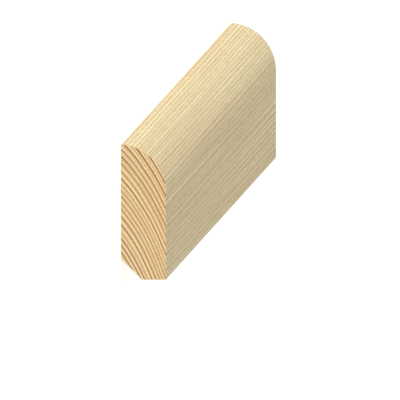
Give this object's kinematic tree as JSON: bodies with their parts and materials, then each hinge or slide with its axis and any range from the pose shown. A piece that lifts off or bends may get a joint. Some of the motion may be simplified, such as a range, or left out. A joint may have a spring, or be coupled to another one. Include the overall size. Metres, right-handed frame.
{
  "type": "skirting board length",
  "caption": "Length of planed softwood skirting board with a rounded top edge and a 45 degree relief along the back of its floor edge, sawn square at both ends.",
  "frame": {"origin": "on the back face's plane, under the middle of the board's bounding box", "axes": "+X along the length, +Y towards the edge that stands on the floor, +Z out of the show face; the board lies on its back face"},
  "size_m": [2.4, 0.045, 0.015],
  "materials": {
    "skirting_board": "planed bare softwood, unpainted"
  },
  "bodies": {
    "root": {"skirting_board": "skirting_board"}
  },
  "joints": []
}
